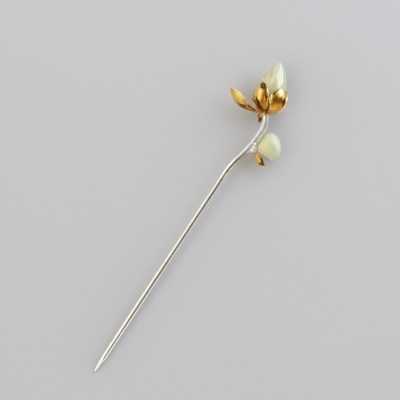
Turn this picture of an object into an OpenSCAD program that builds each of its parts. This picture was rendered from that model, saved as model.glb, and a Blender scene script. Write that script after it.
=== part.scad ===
// Magnolia-bud hairpin: a silver pin with a bent twig head, two gilt petal whorls
// round a jade bud, and a smaller jade bud with one sepal on a side spur.
// It lies on its back on a flat surface, X along the straight pin from tip to head,
// Z up, with the origin under the middle of the whole outline.

/* [Pin] */
// Length of the straight pin, from the tip to where the twig starts
pin_len = 96; // [90:1:100]
// Radius of the straight grip stretch that a hair ring or bun holder seats on
grip_r = 1.4; // [1.3:0.05:1.6]
// Distance of the grip stretch from the tip
grip_start = 28; // [24:1:32]
// Length of the grip stretch
grip_len = 19; // [14:1:20]
// Radius of the neck between the pin and the twig
neck_r = 1.12; // [1:0.02:1.3]

/* [Twig] */
// Radius that all the twig's own radii are taken from
twig_r = 1.5; // [1.35:0.05:1.6]
// Radius of the round flange that carries the petals
flange_r = 1.65; // [1.6:0.05:1.75]
// Radius of the post that the main jade bud is pushed on
post_r = 0.8; // [0.6:0.05:0.9]
// Radius of the post that the side jade bud is pushed on
side_post_r = 0.5; // [0.4:0.05:0.55]

/* [Petals] */
// Thickness of the gilt petal sheet
sheet = 0.5; // [0.4:0.05:0.55]
// Gap between parts that are pushed together
gap = 0.08; // [0.05:0.01:0.12]

/* [Buds] */
// Widest radius of the main jade bud
bud_r = 5.75; // [5.6:0.05:5.8]
// Length of the main jade bud
bud_len = 20.8; // [19:0.1:21.5]
// Widest radius of the side jade bud
side_r = 5.75; // [5.5:0.05:5.85]
// Length of the side jade bud
side_len = 10; // [9.5:0.1:10.5]

/* [Hidden] */

silver = "lightgray";
gilt = "goldenrod";
jade = "honeydew";

// Where the pin rests on the surface, and how much it climbs from there to the flower
rest_at = 7.7;
rest_r = 1.2;
flower_at = [128.7, -0.2, 7.18];
lean = atan((flower_at[2] - rest_r) / (flower_at[0] - rest_at));
flower_turn = 17.4;

// Where the side bud is seated, its turn from the pin and its dip
side_at = [114.35, -5.4, 6.33];
side_turn = -45.3;
side_dip = 5.6;

// Middle of the outline on the surface
origin_x = 74.72;
origin_y = 1.54;

// Columns: distance from the tip, radius
PIN = [
    [0, 0.01],
    [0.3, 0.3],
    [1, 0.5],
    [4.2, 0.9],
    [rest_at, rest_r],
    [18, 1.27],
    [grip_start, grip_r],
    [grip_start + grip_len, grip_r],
    [grip_start + grip_len + 8, 1.3],
    [66, 1.23],
    [86, 1.22],
    [92, neck_r],
    [pin_len + 2, neck_r],
];

// Columns: X, Y, share of twig_r
TWIG = [
    [pin_len - 1.8, 0, 0.79],
    [99.5, 0, 0.85],
    [102.6, -0.3, 0.92],
    [105.8, -0.85, 0.97],
    [109.3, -1.65, 0.95],
    [112.6, -2.3, 1],
    [116, -2.8, 1],
    [119.1, -3.05, 1.05],
    [122, -3, 1.02],
    [124.9, -2.5, 1.02],
    [126.9, -1.6, 1],
    [128.1, -0.9, 1],
];
twig_sides = 14;
twig_rings = 34;

// Columns: distance along the bud as a share of its length, radius as a share of its widest
MAIN_BUD = [
    [0, 0.2],
    [0.02, 0.38],
    [0.07, 0.6],
    [0.14, 0.79],
    [0.23, 0.92],
    [0.33, 0.985],
    [0.42, 1],
    [0.5, 0.98],
    [0.58, 0.935],
    [0.66, 0.865],
    [0.74, 0.765],
    [0.81, 0.65],
    [0.87, 0.53],
    [0.92, 0.41],
    [0.96, 0.29],
    [0.985, 0.17],
    [1, 0.01],
];
SIDE_BUD = [
    [0, 0.18],
    [0.03, 0.21],
    [0.06, 0.27],
    [0.11, 0.365],
    [0.16, 0.455],
    [0.21, 0.535],
    [0.26, 0.61],
    [0.31, 0.69],
    [0.36, 0.77],
    [0.42, 0.865],
    [0.48, 0.94],
    [0.55, 0.985],
    [0.62, 1],
    [0.69, 0.985],
    [0.76, 0.93],
    [0.83, 0.835],
    [0.89, 0.71],
    [0.94, 0.55],
    [0.975, 0.36],
    [1, 0.01],
];

// Columns: reach from the flower's axis, rise above its seat, half width over the surface,
// curl of each half towards the inside in degrees, roll about the midrib in degrees
CUP_LEFT = [
    [2, 0, 1.4, 16, 0],
    [3, 0.25, 3, 48, 0],
    [4.3, 1.1, 4.1, 54, 0],
    [5.6, 2.65, 4.6, 47, 0],
    [6.6, 4.85, 5, 45, 0],
    [6.9, 7.05, 4.7, 41, 0],
    [6.5, 9.05, 3.3, 32, 0],
    [6.05, 10.35, 1.6, 18, 0],
    [6.2, 10.95, 0.4, 6, 0],
];
CUP_RIGHT = [
    [2, 0, 0.9, 10, 0],
    [3, 0.2, 1.7, 26, 0],
    [4.5, 0.95, 2.7, 33, 0],
    [5.6, 2.3, 3.6, 37, 0],
    [6.15, 4.05, 4.6, 43, 0],
    [6.25, 6.05, 4.9, 45, 0],
    [6.2, 8.05, 4, 39, 0],
    [6.1, 9.55, 2.4, 24, 0],
    [6.2, 10.25, 0.4, 6, 0],
];
CUP_SIDE = [
    [2, 0, 0.85, 10, 0],
    [3, 0.15, 1.4, 24, 0],
    [4.6, 0.85, 2.1, 28, 0],
    [6.1, 2.05, 3.4, 34, 0],
    [7, 3.75, 4.8, 41, 0],
    [7.3, 5.85, 5.3, 45, 0],
    [7.05, 7.95, 4.6, 41, 0],
    [6.5, 9.55, 2.5, 27, 0],
    [6.35, 10.45, 0.4, 6, 0],
];
CUP_BACK = [
    [2, -0.05, 1.2, 14, 0],
    [3, 0.15, 2.2, 34, 0],
    [4.4, 1, 3.4, 44, 0],
    [5.8, 2.3, 4.3, 43, 0],
    [6.7, 4.05, 4.9, 43, 0],
    [6.95, 6.05, 5, 43, 0],
    [6.65, 8.05, 4.1, 38, 0],
    [6.2, 9.65, 2.2, 24, 0],
    [6.25, 10.45, 0.4, 6, 0],
];
OPEN_PETAL = [
    [2.2, -0.2, 0.55, 8, 4],
    [3.7, -0.8, 0.9, 48, 14],
    [5.6, -0.75, 1.2, 60, 22],
    [7.7, -0.1, 1.7, 58, 35],
    [10.4, 0.9, 2.6, 50, 42],
    [12.4, 2.1, 2.9, 46, 42],
    [14.2, 3.5, 2.6, 40, 38],
    [15.7, 5, 1.7, 30, 30],
    [16.7, 6.1, 0.4, 8, 20],
];
SHORT_PETAL = [
    [2.2, -0.1, 0.45, 6, 0],
    [3.5, 0.2, 1, 12, 0],
    [4.9, 1.2, 1.3, 15, 0],
    [6.25, 2.5, 1.4, 16, 0],
    [7.4, 3.7, 1.1, 14, 0],
    [8.15, 4.5, 0.3, 8, 0],
];
DROOP_PETAL = [
    [2.05, -0.15, 0.75, -8, 0],
    [2.7, -0.95, 1.2, -24, 0],
    [2.85, -2.1, 1.5, -30, 0],
    [2.65, -3.3, 1.1, -24, 0],
    [2.3, -4.3, 0.3, -8, 0],
];
SEPAL = [
    [1.3, 0, 0.55, 6, 0],
    [2.1, -0.25, 1, 26, -30],
    [3.1, -0.2, 1.4, 38, -50],
    [4.4, 0.2, 1.6, 42, -56],
    [5.8, 0.7, 1.4, 40, -56],
    [7.2, 1.25, 1, 30, -55],
    [8.45, 1.5, 0.25, 10, -50],
];

// Columns: turn of the petal about its seat, from the photo's left towards the viewer,
// turns between which it leaves the rim of its disc, rows of the petal
OUTER_WHORL = [
    [-48, -74, -32, DROOP_PETAL],
    [0, -26, 12, OPEN_PETAL],
    [30, 18, 48, SHORT_PETAL],
];
INNER_WHORL = [
    [42, 2, 84, CUP_LEFT],
    [131, 104, 158, CUP_RIGHT],
    [198, 174, 224, CUP_SIDE],
    [290, 248, 332, CUP_BACK],
];
SIDE_WHORL = [[180, 140, 220, SEPAL]];

petal_steps = 16;
petal_spans = 10;
ring_sides = 2 * petal_spans + 2;
rim_turn = 15;

// Seats along the flower's axis, counted from the middle of the outer whorl's disc
disc_r = 1.7;
inner_at = sheet + gap;
main_bud_at = inner_at + sheet / 2 + gap;
flange_at = -sheet / 2 - gap;
flange_len = 0.9;
post_len = 6;

// Seats along the side bud's axis, counted from the bud's foot
ring_r = 1;
ring_at = -sheet / 2 - gap;
side_post_len = 4;
bore_extra = 0.3;

// Side spur: a round stub out of the twig, a turned collar on its end and a nub beside it
spur_at = -3.6;
spur_r = 1;
collar_at = -2;
collar_len = ring_at - sheet / 2 - gap - collar_at;
collar_r = 1.15;
collar_round = 0.15;
nub_at = [-0.2, 0.6, -2.35];
nub_r = 0.75;
// Columns: radius, height
collar_outline = [
    [0, 0],
    [spur_r, 0],
    [collar_r - collar_round, collar_round],
    [collar_r, 2 * collar_round],
    [collar_r, collar_len - 2 * collar_round],
    [collar_r - collar_round, collar_len],
    [0, collar_len],
];

// How far one soldered piece runs into the next, and how far a cutter runs past a face
sunk = 0.5;

// Value of a smooth curve through four rows at the share f between the middle two
function bend(a, b, c, d, f) =
    (2 * b + (c - a) * f + (2 * a - 5 * b + 4 * c - d) * f * f + (3 * b - a - 3 * c + d) * f * f * f) / 2;

// Row of a table at the share t of its length, with a smooth change between rows
function row_at(rows, t) =
    let (last = len(rows) - 1, place = t * last, i = min(floor(place), last - 1))
    bend(rows[max(i - 1, 0)], rows[i], rows[i + 1], rows[min(i + 2, last)], place - i);

// Numbers of the points of a ring, counted on from its first
function counted(first, sides) = [for (k = [0 : sides - 1]) first + k];

// Faces between two rings of points that go round the same way
function strip(a, b) =
    [for (k = [0 : len(a) - 1])
        let (n = (k + 1) % len(a))
        each [[a[k], a[n], b[k]], [a[n], b[n], b[k]]]];

// Points round one cross-section of a petal: along its inside, then back along its outside
function petal_ring(rows, t) =
    let (
        row = row_at(rows, t),
        ahead = row_at(rows, min(t + 0.01, 1)),
        behind = row_at(rows, max(t - 0.01, 0)),
        run = [ahead[0] - behind[0], ahead[1] - behind[1]] / norm([ahead[0] - behind[0], ahead[1] - behind[1]]),
        curve = row[2] / (row[3] * PI / 180)
    )
    [for (k = [0 : ring_sides - 1])
        let (
            inside = k <= petal_spans,
            j = inside ? k : ring_sides - 1 - k,
            angle = row[3] * (2 * j / petal_spans - 1),
            shift = (inside ? -1 : 1) * sheet / 2,
            across = (curve + shift) * sin(angle),
            deep = curve - (curve + shift) * cos(angle),
            side = across * cos(row[4]) - deep * sin(row[4]),
            up = across * sin(row[4]) + deep * cos(row[4])
        )
        [row[0] - up * run[1], side, row[1] + up * run[0]]];

// Points turned about the seat's axis
function turned(points, turn) =
    [for (p = points) [p[0] * cos(turn) - p[1] * sin(turn), p[0] * sin(turn) + p[1] * cos(turn), p[2]]];

// Turn from one petal's root to the next one's, and the number of steps that the rim takes over it
function gap_after(petals, p) =
    (p + 1 < len(petals) ? petals[p + 1][1] : petals[0][1] + 360) - petals[p][2];
function gap_steps(petals, p) = ceil(gap_after(petals, p) / rim_turn);

// Number of the rim point where a petal's root begins
function root_first(petals, p) =
    p == 0 ? 0 : root_first(petals, p - 1) + petal_spans + gap_steps(petals, p - 1);

// Turns of all the points on the rim: along each root, then along the gap after it
function rim_angles(petals) =
    [for (p = [0 : len(petals) - 1])
        each concat(
            [for (j = [0 : petal_spans - 1])
                petals[p][1] + (petals[p][2] - petals[p][1]) * j / petal_spans],
            [for (g = [0 : gap_steps(petals, p) - 1])
                petals[p][2] + gap_after(petals, p) * g / gap_steps(petals, p)]
        )];

// Disc of formed sheet with petals that grow out of its rim, and a hole for its post
module whorl(petals, radius, hole_r) {
    angles = rim_angles(petals);
    rim = len(angles);
    last = len(petals) - 1;
    function ring(p, i) = i == 0
        ? concat(
            [for (j = [0 : petal_spans]) root_first(petals, p) + j],
            [for (j = [petal_spans : -1 : 0]) rim + root_first(petals, p) + j]
        )
        : counted(2 * rim + (p * (petal_steps + 1) + i - 1) * ring_sides, ring_sides);
    difference() {
        polyhedron(
            points = concat(
                [for (face = [1, -1], a = angles) [radius * cos(a), radius * sin(a), face * sheet / 2]],
                [for (p = [0 : last], i = [0 : petal_steps])
                    each turned(petal_ring(petals[p][3], i / petal_steps), petals[p][0])]
            ),
            faces = concat(
                [[for (m = [rim - 1 : -1 : 0]) m]],
                [[for (m = [0 : rim - 1]) rim + m]],
                [for (p = [0 : last], i = [0 : petal_steps]) each strip(ring(p, i), ring(p, i + 1))],
                [for (p = [0 : last], j = [0 : petal_spans - 1])
                    let (tip = ring(p, petal_steps + 1))
                    [tip[j], tip[j + 1], tip[ring_sides - 2 - j], tip[ring_sides - 1 - j]]],
                [for (p = [0 : last], g = [0 : gap_steps(petals, p) - 1])
                    let (m = root_first(petals, p) + petal_spans + g, n = (m + 1) % rim)
                    [rim + m, m, n, rim + n]]
            )
        );
        cylinder(h = sheet + 2 * sunk, r = hole_r, center = true, $fn = 32);
    }
}

// Height of the pin's centre line above the surface
function climb(x) = rest_r + (x - rest_at) * tan(lean);

// Centre and radius of the twig at the share t of its length
function twig_row(t) = let (row = row_at(TWIG, t)) [row[0], row[1], climb(row[0]), row[2] * twig_r];

// Frame with +Z along a bud, +X to the photo's left of it and +Y towards the viewer
module seated(at, turn, dip) {
    translate(at) rotate([0, 0, turn]) rotate([0, dip, 0]) rotate([90, 0, 90]) children();
}

// Moves the lying hairpin so that the origin is under the middle of its outline
module lying() {
    translate([-origin_x, -origin_y, 0]) children();
}

module straight_pin() {
    translate([rest_at, 0, rest_r])
        rotate([0, 90 - lean, 0])
            translate([0, 0, -rest_at / cos(lean)])
                rotate_extrude($fn = 64)
                    polygon(concat([[0, 0]], [for (row = PIN) [row[1], row[0]]], [[0, pin_len + 2]]));
}

// Twig as one skin swept along its table
module twig() {
    polyhedron(
        points = [for (i = [0 : twig_rings])
            let (
                t = i / twig_rings,
                here = twig_row(t),
                ahead = twig_row(min(t + 0.01, 1)),
                behind = twig_row(max(t - 0.01, 0)),
                run = [for (k = [0 : 2]) ahead[k] - behind[k]] / norm([for (k = [0 : 2]) ahead[k] - behind[k]]),
                side = cross([0, 0, 1], run) / norm(cross([0, 0, 1], run)),
                up = cross(run, side)
            )
            for (j = [0 : twig_sides - 1])
                let (angle = -360 * j / twig_sides)
                [here[0], here[1], here[2]] + here[3] * (cos(angle) * side + sin(angle) * up)],
        faces = concat(
            [for (i = [0 : twig_rings - 1])
                each strip(counted(i * twig_sides, twig_sides), counted((i + 1) * twig_sides, twig_sides))],
            [[for (j = [twig_sides - 1 : -1 : 0]) j]],
            [counted(twig_rings * twig_sides, twig_sides)]
        )
    );
}

module pin_and_twig() {
    color(silver) lying() {
        straight_pin();
        twig();
        seated(flower_at, flower_turn, 0) {
            translate([0, 0, flange_at - flange_len]) cylinder(h = flange_len, r1 = twig_r, r2 = flange_r, $fn = 48);
            translate([0, 0, flange_at - sunk]) cylinder(h = post_len - flange_at + sunk, r = post_r, $fn = 32);
        }
        seated(side_at, side_turn, side_dip) {
            translate([0, 0, spur_at]) cylinder(h = collar_at - spur_at, r = spur_r, $fn = 32);
            translate([0, 0, collar_at]) collar();
            translate([0, 0, collar_at]) cylinder(h = side_post_len - collar_at, r = side_post_r, $fn = 32);
            translate(nub_at) sphere(r = nub_r, $fn = 32);
        }
    }
}

// Turned collar that the side bud is pushed against
module collar() {
    rotate_extrude($fn = 48) polygon(collar_outline);
}

module outer_petals() {
    color(gilt) lying() seated(flower_at, flower_turn, 0) whorl(OUTER_WHORL, disc_r, post_r + gap);
}

module inner_petals() {
    color(gilt) lying() seated(flower_at, flower_turn, 0)
        translate([0, 0, inner_at]) whorl(INNER_WHORL, disc_r, post_r + gap);
}

module side_sepal() {
    color(gilt) lying() seated(side_at, side_turn, side_dip)
        translate([0, 0, ring_at]) whorl(SIDE_WHORL, ring_r, side_post_r + gap);
}

// Turned bud with a blind bore for its post
module bud(rows, length, radius, bore_depth, bore_r) {
    difference() {
        rotate_extrude($fn = 72)
            polygon(concat([[0, 0]], [for (row = rows) [row[1] * radius, row[0] * length]], [[0, length]]));
        translate([0, 0, -sunk]) cylinder(h = bore_depth + sunk, r = bore_r, $fn = 32);
    }
}

module main_bud() {
    color(jade) lying() seated(flower_at, flower_turn, 0) translate([0, 0, main_bud_at])
        bud(MAIN_BUD, bud_len, bud_r, post_len + bore_extra - main_bud_at, post_r + gap);
}

module side_bud() {
    color(jade) lying() seated(side_at, side_turn, side_dip)
        bud(SIDE_BUD, side_len, side_r, side_post_len + bore_extra, side_post_r + gap);
}

pin_and_twig();
outer_petals();
inner_petals();
main_bud();
side_sepal();
side_bud();
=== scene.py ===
"""Looks of a magnolia-bud hairpin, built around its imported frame.

A polished silver shank runs into a satin silver twig. Gilt petals and a gilt
sepal hold two pale jade buds. Sizes are in millimetres and become metres only
where a mesh is made. The hairpin lies on a plain pale floor and is seen from
straight above.
"""

from __future__ import annotations

import logging
import math
from dataclasses import dataclass
from enum import Enum
from typing import Sequence

import bmesh
import bpy
import numpy as np
from mathutils import Matrix, Vector, noise


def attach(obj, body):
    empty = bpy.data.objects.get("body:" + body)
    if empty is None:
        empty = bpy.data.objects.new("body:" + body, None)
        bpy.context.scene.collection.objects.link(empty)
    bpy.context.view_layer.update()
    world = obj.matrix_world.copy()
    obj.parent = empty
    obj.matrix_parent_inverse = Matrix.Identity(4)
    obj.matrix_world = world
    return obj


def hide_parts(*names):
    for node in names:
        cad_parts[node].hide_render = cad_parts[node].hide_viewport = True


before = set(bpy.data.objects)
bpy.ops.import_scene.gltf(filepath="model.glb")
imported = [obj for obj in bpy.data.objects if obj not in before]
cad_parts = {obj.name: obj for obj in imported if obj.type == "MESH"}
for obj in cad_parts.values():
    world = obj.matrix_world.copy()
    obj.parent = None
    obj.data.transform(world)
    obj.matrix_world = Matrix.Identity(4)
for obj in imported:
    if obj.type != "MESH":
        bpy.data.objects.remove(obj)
LOG = logging.getLogger("hairpin")

MM = 0.001
BODY = "root"

# Middle of the hairpin's outline on the floor, counted from the pin's tip
ORIGIN = (74.72, 1.54)

# Where the pin meets the floor, counted from its tip, and its radius there
REST_AT, REST_R = 7.7, 1.2

# How far the hairpin is raised, so that none of it dips under the floor
LIFT = 0.01

# Radius to which turned parts narrow at their ends, as a point
POINT_R = 0.02

# Thickness of the gilt sheet, and the gap between parts that are pushed together
SHEET = 0.5
GAP = 0.08

# Columns: distance from the tip, radius
PIN = (
    (0, 0.01), (0.12, 0.19), (0.3, 0.3), (1, 0.5), (4.2, 0.9), (REST_AT, REST_R), (18, 1.27), (28, 1.4),
    (47, 1.4), (55, 1.33), (66, 1.28), (86, 1.27), (92, 1.19), (98, 1.19),
)

# Columns: X, Y, radius as a share of the twig's own
TWIG = (
    (94.2, 0, 0.78), (96.5, 0, 0.81), (99.5, 0, 0.88), (102.6, -0.3, 0.95), (105.8, -0.85, 1.02),
    (109.3, -1.65, 0.95), (112.6, -2.3, 1), (116, -2.8, 1), (119.1, -3.05, 1.05), (122, -3, 1.02),
    (124.9, -2.5, 1.02), (126.9, -1.6, 1), (128.1, -0.9, 1),
)

# Columns: distance along the bud as a share of its length, radius as a share of its widest
MAIN_BUD = (
    (0, 0.2), (0.02, 0.38), (0.07, 0.6), (0.14, 0.79), (0.23, 0.92), (0.33, 0.985), (0.42, 1), (0.5, 0.98),
    (0.58, 0.935), (0.66, 0.865), (0.74, 0.765), (0.81, 0.65), (0.87, 0.53), (0.92, 0.41), (0.96, 0.29),
    (0.985, 0.17), (1, 0.01),
)
SIDE_BUD = (
    (0, 0.18), (0.03, 0.21), (0.06, 0.27), (0.11, 0.365), (0.16, 0.455), (0.21, 0.535), (0.26, 0.61),
    (0.31, 0.69), (0.36, 0.77), (0.42, 0.865), (0.48, 0.94), (0.55, 0.985), (0.62, 1), (0.69, 0.985),
    (0.76, 0.93), (0.83, 0.835), (0.89, 0.71), (0.94, 0.55), (0.975, 0.36), (1, 0.01),
)

# Columns: reach from the flower's axis, rise above its seat, half width over the surface,
# curl of each half towards the inside in degrees, roll about the midrib in degrees
CUP_LEFT = (
    (2, 0, 1.4, 16, 0), (3, 0.25, 3, 48, 0), (4.3, 1.1, 4.1, 54, 0), (5.6, 2.65, 4.6, 47, 0),
    (6.6, 4.85, 5, 45, 0), (6.9, 7.05, 4.7, 41, 0), (6.5, 9.05, 3.3, 32, 0), (6.05, 10.35, 1.6, 18, 0),
    (6.2, 10.95, 0.4, 6, 0),
)
CUP_RIGHT = (
    (2, 0, 0.9, 10, 0), (3, 0.2, 1.7, 26, 0), (4.5, 0.95, 2.7, 33, 0), (5.6, 2.3, 3.6, 37, 0),
    (6.15, 4.05, 4.6, 43, 0), (6.25, 6.05, 4.9, 45, 0), (6.2, 8.05, 4, 39, 0), (6.1, 9.55, 2.4, 24, 0),
    (6.2, 10.25, 0.4, 6, 0),
)
CUP_SIDE = (
    (2, 0, 0.85, 10, 0), (3, 0.15, 1.4, 24, 0), (4.6, 0.85, 2.1, 28, 0), (6.1, 2.05, 3.4, 34, 0),
    (7, 3.75, 4.8, 41, 0), (7.3, 5.85, 5.3, 45, 0), (7.05, 7.95, 4.6, 41, 0), (6.5, 9.55, 2.5, 27, 0),
    (6.35, 10.45, 0.4, 6, 0),
)
CUP_BACK = (
    (2, -0.05, 1.2, 14, 0), (3, 0.15, 2.2, 34, 0), (4.4, 1, 3.4, 44, 0), (5.8, 2.3, 4.3, 43, 0),
    (6.7, 4.05, 4.9, 43, 0), (6.95, 6.05, 5, 43, 0), (6.65, 8.05, 4.1, 38, 0), (6.2, 9.65, 2.2, 24, 0),
    (6.25, 10.45, 0.4, 6, 0),
)
OPEN_PETAL = (
    (2.2, -0.2, 0.55, 8, 4), (3.7, -0.55, 1, 48, 14), (5.6, -0.45, 1.3, 60, 22), (7.7, -0.1, 1.7, 58, 35),
    (10.4, 0.9, 2.6, 50, 42), (12.4, 2.1, 2.9, 46, 42), (14.2, 3.5, 2.6, 40, 38), (15.7, 5, 1.7, 30, 30),
    (16.7, 6.1, 0.4, 8, 20),
)
SHORT_PETAL = (
    (2.2, -0.1, 0.45, 6, 0), (3.5, 0.2, 1, 12, 0), (4.9, 1.2, 1.3, 15, 0), (6.25, 2.5, 1.4, 16, 0),
    (7.4, 3.6, 1.1, 14, 0), (8.15, 4.25, 0.3, 8, 0),
)
DROOP_PETAL = (
    (2.05, -0.15, 0.75, -8, 0), (2.7, -0.95, 1.2, -24, 0), (2.85, -2.1, 1.5, -30, 0),
    (2.65, -3.3, 1.1, -24, 0), (2.3, -4.3, 0.3, -8, 0),
)
SEPAL = (
    (1.3, 0, 0.55, 6, 0), (2.1, -0.25, 1, 26, -30), (3.1, -0.2, 1.4, 38, -50), (4.4, 0.2, 1.6, 42, -56),
    (5.8, 0.7, 1.4, 40, -56), (7.2, 1.25, 1, 30, -55), (8.45, 1.5, 0.25, 10, -50),
)

Array = np.ndarray
Span = tuple[float, float]
Colour = tuple[float, float, float]
Rows = Sequence[Sequence[float]]
Mesh, Object, Material = bpy.types.Mesh, bpy.types.Object, bpy.types.Material
Node, Socket, Tree = bpy.types.Node, bpy.types.NodeSocket, bpy.types.NodeTree


class Slot(Enum):
    """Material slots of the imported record."""

    SILVER = "silver"
    GILT = "gilt"
    JADE = "jade"


class Mask(Enum):
    """Values that a mesh carries for its material, from 0 to 1 at each point."""

    # Tarnish, and also painted shade and painted dark reflections
    TARNISH_AND_SHADE = "tarnish"
    # Deeper orange gold, as painted shade and painted reflection
    DEEP = "deep"
    # Wear, and also painted highlights and painted sheen
    PALE = "pale"
    ALONG = "along"
    ACROSS = "across"
    # Painted reflection of the gold on the jade
    REFLECTED_GOLD = "warmth"
    # Gold colour on the silver flange, a painted reflection of the gold petals
    GILT = "gilt"
    POLISH = "polish"


def row_at(rows: Rows, share: Array) -> Array:
    """Rows of a table at shares of its length, with a smooth change between rows.

    Args:
        rows: The table, one row for each section.
        share: Where to read it, from 0 at the first row to 1 at the last.

    Returns:
        One row for each share.
    """
    table = np.asarray(rows, float)
    last = len(table) - 1
    place = np.clip(np.asarray(share, float), 0, 1) * last
    i = np.minimum(np.floor(place).astype(int), last - 1)
    f = (place - i)[..., None]
    a, b, c, d = table[np.maximum(i - 1, 0)], table[i], table[i + 1], table[np.minimum(i + 2, last)]
    return (2 * b + (c - a) * f + (2 * a - 5 * b + 4 * c - d) * f**2 + (3 * b - a - 3 * c + d) * f**3) / 2


def even_curve(rows: Rows, steps: int) -> Array:
    """A profile's rows joined by a smooth line that never overshoots them.

    Args:
        rows: Distance and radius, by rising distance.
        steps: Number of points from one row to the next.

    Returns:
        Distances and radii along the whole line.
    """
    x, y = np.asarray(rows, float).T
    slope = np.diff(y) / np.diff(x)
    bend = np.zeros_like(y)
    both = slope[:-1] * slope[1:] > 0
    bend[1:-1][both] = 2 * slope[:-1][both] * slope[1:][both] / (slope[:-1] + slope[1:])[both]
    bend[0], bend[-1] = slope[0], slope[-1]
    made = []
    for k in range(len(x) - 1):
        f = np.arange(steps) / steps
        h = x[k + 1] - x[k]
        value = (
            y[k] * (1 + 2 * f) * (1 - f) ** 2
            + h * bend[k] * f * (1 - f) ** 2
            + y[k + 1] * f**2 * (3 - 2 * f)
            + h * bend[k + 1] * f**2 * (f - 1)
        )
        made.append(np.stack([x[k] + f * h, value], 1))
    return np.vstack([*made, [[x[-1], y[-1]]]])


def wave(along: Array, across: Array, seed: float) -> Array:
    """Gentle unevenness of hand-formed sheet.

    Args:
        along: First coordinate of each place.
        across: Second coordinate of each place.
        seed: Third coordinate, the same for all.

    Returns:
        A height from about -1 to 1 at each place.
    """
    flat = [noise.noise(Vector((a, b, seed))) for a, b in zip(along.ravel(), across.ravel())]
    return np.array(flat).reshape(along.shape)


def climb(x: Array) -> Array:
    """Height of the pin's centre line above the floor at distances from the tip."""
    return REST_R + (x - REST_AT) * math.tan(LEAN)


def circle(radius: float, turn: Array, height: float) -> Array:
    """Points of a level ring at turns in radians."""
    return np.stack([radius * np.cos(turn), radius * np.sin(turn), np.full(len(turn), height)], 1)


def read_points(mesh: Mesh, label: str) -> Array:
    """Reads three numbers of each point of a mesh.

    Args:
        mesh: The mesh.
        label: Which numbers, "co" for places or "normal" for normals.

    Returns:
        One row for each point.
    """
    values = np.empty(len(mesh.vertices) * 3)
    mesh.vertices.foreach_get(label, values)
    return values.reshape(-1, 3)


def write_mask(mesh: Mesh, mask: Mask, values: Array) -> None:
    """Stores a mask on a mesh, one value for each point."""
    layer = mesh.attributes.new(mask.value, "FLOAT", "POINT")
    layer.data.foreach_set("value", values.astype(np.float32))


def in_scene(name: str, data: bpy.types.ID) -> Object:
    """Puts data into the scene.

    Args:
        name: Name of the new object.
        data: Its mesh, lamp or camera.

    Returns:
        The object.
    """
    made = bpy.data.objects.new(name, data)
    bpy.context.scene.collection.objects.link(made)
    return made


@dataclass(frozen=True)
class Seat:
    """Where a bud and its petals sit: +Z along the bud, +X to its left in the photo, +Y to the viewer.

    Attributes:
        at: Its place, counted from the pin's tip and from the floor.
        turn: Direction of the bud in degrees about Z, seen from above.
        dip: How far the bud points down, in degrees.
    """

    at: tuple[float, float, float]
    turn: float
    dip: float

    def placed(self, points: Array) -> Array:
        """Brings local points into the row frame.

        Args:
            points: Local points in millimetres.

        Returns:
            The same points in the row frame, in millimetres.
        """
        rotate = (
            Matrix.Rotation(math.radians(self.turn), 3, "Z")
            @ Matrix.Rotation(math.radians(self.dip), 3, "Y")
            @ Matrix.Rotation(math.radians(90), 3, "Z")
            @ Matrix.Rotation(math.radians(90), 3, "X")
        )
        shift = np.array(self.at) - np.array([*ORIGIN, 0])
        return points @ np.array(rotate).T + shift


FLOWER_SEAT = Seat(at=(128.7, -0.2, 7.18), turn=17.4, dip=0)
SIDE_SEAT = Seat(at=(114.35, -5.4, 6.33), turn=-45.3, dip=5.6)
LEAN = math.atan((FLOWER_SEAT.at[2] - REST_R) / (FLOWER_SEAT.at[0] - REST_AT))


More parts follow.
